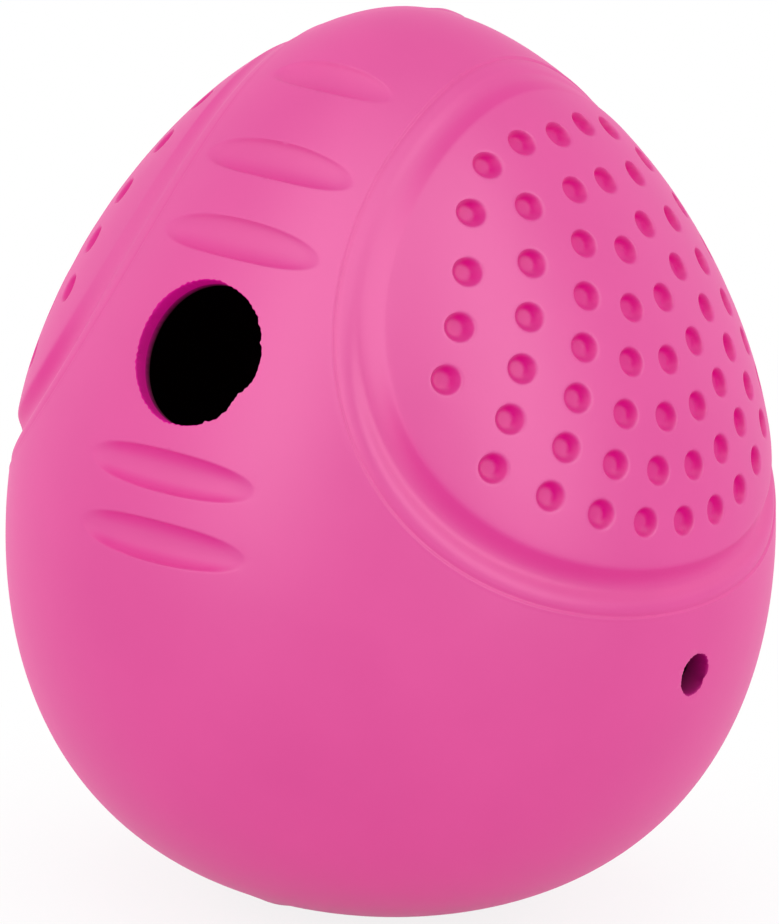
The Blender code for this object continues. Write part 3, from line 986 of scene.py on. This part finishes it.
class Finish:
    """Nodes of a new material or world."""

    def __init__(self, owner):
        owner.use_nodes = True
        self.owner = owner
        self.nodes = owner.node_tree.nodes
        self.links = owner.node_tree.links

    def feed(self, node, sources):
        """Give inputs of a node, by name or number, a value each or an output to link to."""
        for key, source in sources.items():
            if isinstance(source, bpy.types.NodeSocket):
                self.links.new(source, node.inputs[key])
            else:
                node.inputs[key].default_value = source

    def node(self, kind, name, at, sources):
        node = self.nodes.new("ShaderNode" + kind)
        node.name = name
        node.label = name
        node.location = at
        self.feed(node, sources)
        return node

    def shader(self, sources):
        """The surface's own shader, given its inputs."""
        shader = self.nodes["Principled BSDF"]
        self.feed(shader, sources)
        return shader.outputs[0]

    def place(self):
        """The object's own coordinates, which no view changes."""
        node = self.nodes.get("Place") or self.node("TexCoord", "Place", (-1400, 0), {})
        return node.outputs["Object"]

    def stored(self, name, at, layer):
        """Value that the mesh stores at its points."""
        node = self.node("Attribute", name, at, {})
        node.attribute_name = layer
        return node.outputs["Fac"]

    def noise(self, name, at, scale, detail):
        sources = {"Vector": self.place(), "Scale": scale, "Detail": detail}
        return self.node("TexNoise", name, at, sources).outputs["Fac"]

    def ranged(self, name, at, value, low, high, start=0.0, end=1.0):
        """Value that goes from low to high as another goes from start to end."""
        sources = {"Value": value, "From Min": start, "From Max": end, "To Min": low}
        return self.node("MapRange", name, at, {**sources, "To Max": high}).outputs["Result"]

    def bump(self, name, at, height, strength, distance=0.1 * MM, under=None):
        """Bump from a height, over another bump if one is given."""
        sources = {"Height": height, "Strength": strength, "Distance": distance}
        if under:
            sources["Normal"] = under
        return self.node("Bump", name, at, sources).outputs["Normal"]

    def mix(self, name, at, factor, first, second):
        """Colour between two, each a value or an output."""
        node = self.node("Mix", name, at, {})
        node.data_type = "RGBA"
        self.feed(node, {0: factor, 6: first, 7: second})
        return node.outputs[2]

    def calculated(self, operation, name, at, first, second):
        node = self.node("Math", name, at, {0: first, 1: second})
        node.operation = operation
        return node.outputs[0]

    def seen_share(self):
        """Value that is 1 for rays from the camera, from gloss and from glass, and else 0."""
        path = self.node("LightPath", "Rays", (-900, 400), {})
        total = path.outputs["Is Camera Ray"]
        for x, name in ((-700, "Is Glossy Ray"), (-500, "Is Transmission Ray")):
            total = self.calculated("MAXIMUM", name, (x, 400), total, path.outputs[name])
        return total

    def show(self, factor, first, second):
        """Give the surface a mix of two shaders."""
        mix = self.node("MixShader", "Seen or lit", (200, 300), {0: factor, 1: first, 2: second})
        output = next(node for node in self.nodes if node.name.endswith(" Output"))
        self.links.new(mix.outputs[0], output.inputs["Surface"])


PALE_GAIN, PALE_LIFT = 1.10, 0.012
ROUGHNESS_SPREAD = 0.06


def moulded_rubber(look):
    """Satin moulded rubber: painted shade makes it deeper pink and less glossy in the dimples,
    channel and grooves; faintly mottled, with a fine grain.
    """
    finish = Finish(bpy.data.materials.new("moulded_pink_rubber"))
    mottle = finish.noise("Mottle", (-1200, 250), scale=55.0, detail=3.0)
    grain = finish.noise("Grain", (-1200, -300), scale=2600.0, detail=2.0)
    ripple = finish.noise("Ripple", (-1200, -550), scale=230.0, detail=2.0)
    shade = finish.stored("Pink shade", (-1200, 0), "pink_shade")
    paler = [min(value * PALE_GAIN + PALE_LIFT, 1.0) for value in look.skin[:3]] + [1.0]
    skin = finish.mix("Skin", (-800, 250), mottle, look.skin, paler)
    fine = finish.bump("Fine bump", (-500, -300), grain, strength=0.12, distance=0.06 * MM)
    smooth, dry = look.roughness - ROUGHNESS_SPREAD, look.roughness + ROUGHNESS_SPREAD
    finish.shader({
        # Painted shade: the skin goes over to the deep pink where the stored shade is high.
        "Base Color": finish.mix("Deep", (-550, 150), shade, skin, look.deep),
        "Normal": finish.bump("Soft bump", (-300, -400), ripple, strength=0.25, under=fine),
        "Roughness": finish.ranged("Satin", (-500, 0), mottle, smooth, dry),
        # Painted shade also takes gloss away where the stored shade is high.
        "Specular IOR Level": finish.ranged("Sheen", (-500, -120), shade, low=0.20, high=0.04),
    })
    return finish.owner


def cut_rubber(look):
    """Punched and inner rubber: magenta at the punched edge, and painted shade that turns it near
    black inside.
    """
    finish = Finish(bpy.data.materials.new("punched_rubber"))
    depth = finish.stored("Depth", (-1200, 200), "depth_shade")
    tears = finish.noise("Tears", (-1000, -200), scale=900.0, detail=3.0)
    finish.shader({
        "Base Color": finish.mix("Inner", (-700, 200), depth, look.cut, look.hollow),
        "Normal": finish.bump("Tear bump", (-500, -200), tears, strength=0.4),
        "Roughness": finish.ranged("Dry", (-500, 0), tears, low=0.62, high=0.78),
        "Specular IOR Level": 0.10,
    })
    return finish.owner


IRON = (0.13, 0.13, 0.135, 1.0)
RUST = (0.16, 0.06, 0.025, 1.0)


def turned_iron():
    """Dark turned iron with fine lathe rings and a bloom of rust."""
    finish = Finish(bpy.data.materials.new("turned_iron"))
    rust = finish.noise("Rust", (-1000, 200), scale=140.0, detail=6.0)
    bloom = finish.ranged("Bloom", (-800, 200), rust, 0.0, 1.0, start=0.55, end=0.75)
    sources = {"Vector": finish.place(), "Scale": 420.0, "Distortion": 0.6}
    rings = finish.node("TexWave", "Lathe rings", (-1000, -200), sources)
    rings.wave_type = "RINGS"
    rings.rings_direction = "Z"
    ridges = rings.outputs["Fac"]
    finish.shader({
        "Base Color": finish.mix("Iron", (-500, 200), bloom, IRON, RUST),
        "Normal": finish.bump("Ring bump", (-500, -200), ridges, strength=0.3),
        "Roughness": finish.ranged("Dull", (-500, 0), rust, low=0.42, high=0.70),
        "Metallic": 1.0,
    })
    return finish.owner


# Painted shade: how far through the wall the punched rubber begins to go dark, and how soon it is
# dark; how dark the vent is at the skin and at the hollow, and where it lies; and how dark the
# floor disc is.
DARK_FROM, DARK_FADE = 0.68, 0.07
VENT_DARK = (0.45, 0.72)
VENT_SIDE, VENT_REACH = 0.8, 4.0 * MM
DISC_DARK = 0.7


def store_painted_shade(data, layer, painted_shades):
    """Store a value for each point of a mesh, under the name that its material reads."""
    attribute = data.attributes.new(layer, "FLOAT", "POINT")
    attribute.data.foreach_set("value", painted_shades.astype(np.float32))


def write_painted_shade(data, egg, body, lifted, painted_shades):
    """Store the painted shade at each point: the deeper pink of the recesses, and the painted
    darkening by how far the point lies inside the wall.
    """
    flat = np.empty(len(data.vertices) * 3)
    data.vertices.foreach_get("co", flat)
    points = flat.reshape(-1, 3)
    tree = KDTree(len(lifted))
    for index, point in enumerate(lifted):
        tree.insert(point, index)
    tree.balance()
    found = [tree.find((abs(x), y, z))[1] for x, y, z in points]
    store_painted_shade(data, "pink_shade", painted_shades[found])
    walls = egg.depths(points) / body.wall
    dark = np.clip((walls - DARK_FROM) / DARK_FADE, 0.0, 1.0)
    # Painted shade: the vent is darkened from its skin to the hollow.
    in_vent = (points[:, 0] > VENT_SIDE * body.radius) & (np.abs(points[:, 1]) < VENT_REACH)
    dark = np.where(in_vent, np.interp(walls, [0.0, 1.0], VENT_DARK), dark)
    store_painted_shade(data, "depth_shade", dark)


LEAST_FACES = 1000


class TREATEGG_OT_rubber_body(Operator):
    """Build the rubber body with its panels, grooves, opening and vent"""

    bl_idname = "treat_egg.rubber_body"
    bl_label = "Rubber Body"
    bl_options = {"REGISTER", "UNDO"}

    def execute(self, context):
        scene = context.scene
        body = scene.treat_egg_body
        bore = scene.treat_egg_bore
        look = scene.treat_egg_rubber
        mesh, egg, lifted, painted_shades = egg_skin_mesh(scene)
        materials = [moulded_rubber(look), cut_rubber(look)]
        skin = object_from("rubber_body", mesh, materials)
        front, out = front_frame(egg, egg.crown - bore.opening_drop)
        side = egg.side_points(np.zeros(1), np.array([egg.crown - bore.vent_drop]))
        place = (egg, side[0], egg.normals(side)[0], bore.vent_radius, bore.rim)
        vent = punch_mesh(*place, VENT_RAG, VENT_SIDES)
        place = (egg, front, out, bore.opening_radius, bore.rim)
        opening = punch_mesh(*place, OPENING_RAG, OPENING_SIDES)
        cutters = [
            object_from("hollow_core", hollow_mesh(egg, body), materials),
            object_from("opening_punch", opening, materials),
            object_from("vent_punch", vent, materials),
        ]
        for cutter in cutters:
            for face in cutter.data.polygons:
                face.material_index = 1
        cut_with(skin, cutters)
        if len(skin.data.polygons) < LEAST_FACES:
            raise RuntimeError("the rubber body lost its skin when it was cut")
        skin.data.set_sharp_from_angle(angle=RUBBER_SHARP)
        write_painted_shade(skin.data, egg, body, lifted, painted_shades)
        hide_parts("left_shell", "right_shell")
        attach(skin, "root")
        return {"FINISHED"}


class TREATEGG_OT_floor_disc(Operator):
    """Build the rubber floor disc with its rounded rim and its raised middle"""

    bl_idname = "treat_egg.floor_disc"
    bl_label = "Floor Disc"
    bl_options = {"REGISTER", "UNDO"}

    def execute(self, context):
        low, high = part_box("ballast_cover")
        radius = high[0]
        rim = 0.8 * MM
        edge = 0.2 * MM
        top = high[2] - rim
        profile = [(0.0, low[2]), (radius - edge, low[2]), (radius, low[2] + edge)]
        rim_turns, crown_shares = np.linspace(0.0, math.pi / 2.0, 7), np.linspace(0.9, 0.1, 9)
        for turn in rim_turns:
            profile.append((radius - rim + rim * math.cos(turn), top - rim + rim * math.sin(turn)))
        for part in crown_shares:
            profile.append(((radius - rim) * part, top + (high[2] - top) * (1.0 - part**2)))
        profile.append((0.0, high[2]))
        material = cut_rubber(context.scene.treat_egg_rubber)
        disc = object_from("floor_disc", turned_mesh(profile, TURNED_SIDES), [material])
        # Painted shade: the floor disc is darkened all over.
        store_painted_shade(disc.data, "depth_shade", np.full(len(disc.data.vertices), DISC_DARK))
        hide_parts("ballast_cover")
        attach(disc, "root")
        return {"FINISHED"}


class TREATEGG_OT_iron_slug(Operator):
    """Build the turned iron slug with its chamfers and the centre mark of the lathe"""

    bl_idname = "treat_egg.iron_slug"
    bl_label = "Iron Slug"
    bl_options = {"REGISTER", "UNDO"}

    def execute(self, context):
        low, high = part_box("ballast_weight")
        radius, foot, top = high[0], low[2], high[2]
        base, edge = 2.5 * MM, 1.0 * MM
        base_corner, edge_corner = 0.08 * base, 0.1 * edge
        mark, mark_floor = (1.6 * MM, 1.3 * MM), (0.4 * MM, 1.4 * MM)
        profile = [
            (0.0, foot),
            (radius - base, foot),
            (radius - base + base_corner, foot + base_corner),
            (radius - base_corner, foot + base - base_corner),
            (radius, foot + base),
            (radius, top - edge),
            (radius - edge_corner, top - edge + edge_corner),
            (radius - edge + edge_corner, top - edge_corner),
            (radius - edge, top),
            (mark[0], top),
            (mark[1], top - mark_floor[0]),
            (0.0, top - mark_floor[1]),
        ]
        mesh = turned_mesh(profile, TURNED_SIDES)
        slug = object_from("iron_slug", mesh, [turned_iron()], IRON_SHARP)
        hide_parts("ballast_weight")
        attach(slug, "root")
        return {"FINISHED"}


# Each lamp's name, power, width, height, degrees round from the front to the right, degrees up, and
# whether only gloss shows it.
LAMPS = (
    ("left_lamp", "side_power", 0.36, 0.52, -8.0, 16.0, False),
    ("right_lamp", "side_power", 0.36, 0.52, 84.0, 16.0, False),
    ("left_sheen_lamp", "sheen_power", 0.46, 1.25, -5.0, 36.0, True),
    ("right_sheen_lamp", "sheen_power", 0.46, 1.25, 79.0, 36.0, True),
    ("left_rim_lamp", "rim_power", 0.45, 0.45, -75.0, 20.0, False),
    ("right_rim_lamp", "rim_power", 0.45, 0.45, 150.0, 20.0, False),
)
LAMP_TARGET = Vector((0.0, 0.0, 0.05))
LAMP_DISTANCE = 0.75


def way_out(azimuth, elevation, distance):
    """Step out from the egg, in degrees round from the front to the right and degrees up."""
    turn, rise = math.radians(azimuth), math.radians(elevation)
    level = distance * math.cos(rise)
    return Vector((level * math.sin(turn), -level * math.cos(turn), distance * math.sin(rise)))


def soft_lamp(name, energy, width, height, azimuth, elevation, sheen_only):
    """Soft box that faces the egg."""
    step = way_out(azimuth, elevation, LAMP_DISTANCE)
    data = bpy.data.lights.new(name, "AREA")
    data.energy = energy
    data.shape = "RECTANGLE"
    data.size = width
    data.size_y = height
    lamp = bpy.data.objects.new(name, data)
    lamp.location = LAMP_TARGET + step
    lamp.rotation_euler = step.to_track_quat("Z", "Y").to_euler()
    lamp.visible_diffuse = not sheen_only
    bpy.context.scene.collection.objects.link(lamp)


def white_room(sky):
    """World that is white to the eye and lights the egg evenly from all round."""
    finish = Finish(bpy.data.worlds.new("white_room"))
    plain = finish.nodes["Background"]
    finish.feed(plain, {"Color": WHITE, "Strength": sky})
    seen = finish.node("Background", "Seen", (0, 100), {"Color": WHITE, "Strength": 1.0})
    finish.show(finish.seen_share(), plain.outputs[0], seen.outputs[0])
    return finish.owner


# Distances from the egg's middle between which its shadow fades, and the white over the shadow.
FADE_FROM, FADE_TO = 0.03, 0.075
SHADOW_WHITE = 0.85


def floor_material(look):
    """Pale floor that is white to the eye but for the egg's soft shadow close round it."""
    finish = Finish(bpy.data.materials.new("pale_floor"))
    plain = {"Base Color": look.floor, "Roughness": 0.9, "Specular IOR Level": 0.0}
    glow = finish.node("Emission", "Glow", (0, 100), {"Color": WHITE})
    reach = finish.node("VectorMath", "Reach", (-900, 0), {0: finish.place()})
    reach.operation = "LENGTH"
    distance = reach.outputs["Value"]
    fade = finish.ranged("Fade", (-700, 0), distance, SHADOW_WHITE, 1.0, FADE_FROM, FADE_TO)
    white = finish.calculated("MULTIPLY", "White", (-200, 200), finish.seen_share(), fade)
    finish.show(white, finish.shader(plain), glow.outputs[0])
    return finish.owner


FLOOR_RADIUS, FLOOR_SIDES = 3.0, 96
FLOOR_DROP = 0.0001
CAMERA_AZIMUTH, CAMERA_ELEVATION, CAMERA_ROLL = 37.04, 16.36, 2.03
CAMERA_TARGET = Vector((0.0, 0.0, 0.0498))
CAMERA_DISTANCE = 1.2048
CAMERA_LENS, CAMERA_SENSOR = 428.0, 36.0
CAMERA_SHIFT = (-0.0041, -0.0079)
CAMERA_FAR = 20.0


def photo_camera():
    """Camera at the photograph's viewing angle."""
    turn, roll = math.radians(CAMERA_AZIMUTH), math.radians(CAMERA_ROLL)
    back = way_out(CAMERA_AZIMUTH, CAMERA_ELEVATION, 1.0)
    right = Vector((math.cos(turn), math.sin(turn), 0.0))
    up = back.cross(right)
    tilted_right = right * math.cos(roll) + up * math.sin(roll)
    tilted_up = up * math.cos(roll) - right * math.sin(roll)
    pose = Matrix((tilted_right, tilted_up, back)).transposed()
    data = bpy.data.cameras.new("camera")
    data.sensor_width = CAMERA_SENSOR
    data.lens = CAMERA_LENS
    data.shift_x, data.shift_y = CAMERA_SHIFT
    data.clip_end = CAMERA_FAR
    camera = bpy.data.objects.new("camera", data)
    place = CAMERA_TARGET + back * CAMERA_DISTANCE
    camera.matrix_world = Matrix.Translation(place) @ pose.to_4x4()
    bpy.context.scene.collection.objects.link(camera)
    return camera


class TREATEGG_OT_stage(Operator):
    """Build the pale floor, the soft lamps, the white room and the camera"""

    bl_idname = "treat_egg.stage"
    bl_label = "Stage"
    bl_options = {"REGISTER", "UNDO"}

    def execute(self, context):
        scene = context.scene
        look = scene.treat_egg_stage
        scene.view_settings.view_transform = "Standard"
        scene.world = white_room(look.sky)
        mesh = bmesh.new()
        bmesh.ops.create_circle(mesh, cap_ends=True, segments=FLOOR_SIDES, radius=FLOOR_RADIUS)
        floor = object_from("floor", mesh, [floor_material(look)])
        floor.location.z = -FLOOR_DROP
        for name, power_name, *setting in LAMPS:
            soft_lamp(name, getattr(look, power_name), *setting)
        scene.camera = photo_camera()
        return {"FINISHED"}


SIZE_GROUPS = (
    ("treat_egg_body", BodySizes, "Body"),
    ("treat_egg_panel", PanelSizes, "Side panels"),
    ("treat_egg_dimple", DimpleSizes, "Dimples"),
    ("treat_egg_groove", GrooveSizes, "Grip grooves"),
    ("treat_egg_bore", BoreSizes, "Opening and vent"),
    ("treat_egg_rubber", RubberLook, "Rubber"),
    ("treat_egg_stage", StageLook, "Stage"),
)
STEPS = (
    TREATEGG_OT_rubber_body,
    TREATEGG_OT_floor_disc,
    TREATEGG_OT_iron_slug,
    TREATEGG_OT_stage,
)


class TREATEGG_PT_pieces(Panel):
    """Sizes, colours and pieces of the treat egg"""

    bl_idname = "TREATEGG_PT_pieces"
    bl_label = "Treat Egg"
    bl_space_type = "VIEW_3D"
    bl_region_type = "UI"
    bl_category = "Treat Egg"

    def draw(self, context):
        for name, group, title in SIZE_GROUPS:
            box = self.layout.box()
            box.label(text=title)
            for key in group.__annotations__:
                box.prop(getattr(context.scene, name), key)
        for step in STEPS:
            self.layout.operator(step.bl_idname)


def register():
    for name, group, _ in SIZE_GROUPS:
        bpy.utils.register_class(group)
        setattr(bpy.types.Scene, name, PointerProperty(type=group))
    for step in STEPS:
        bpy.utils.register_class(step)
    bpy.utils.register_class(TREATEGG_PT_pieces)


def unregister():
    bpy.utils.unregister_class(TREATEGG_PT_pieces)
    for step in reversed(STEPS):
        bpy.utils.unregister_class(step)
    for name, group, _ in reversed(SIZE_GROUPS):
        delattr(bpy.types.Scene, name)
        bpy.utils.unregister_class(group)


def main():
    register()
    bpy.ops.treat_egg.rubber_body()
    bpy.ops.treat_egg.floor_disc()
    bpy.ops.treat_egg.iron_slug()
    bpy.ops.treat_egg.stage()


if __name__ == "__main__":
    main()
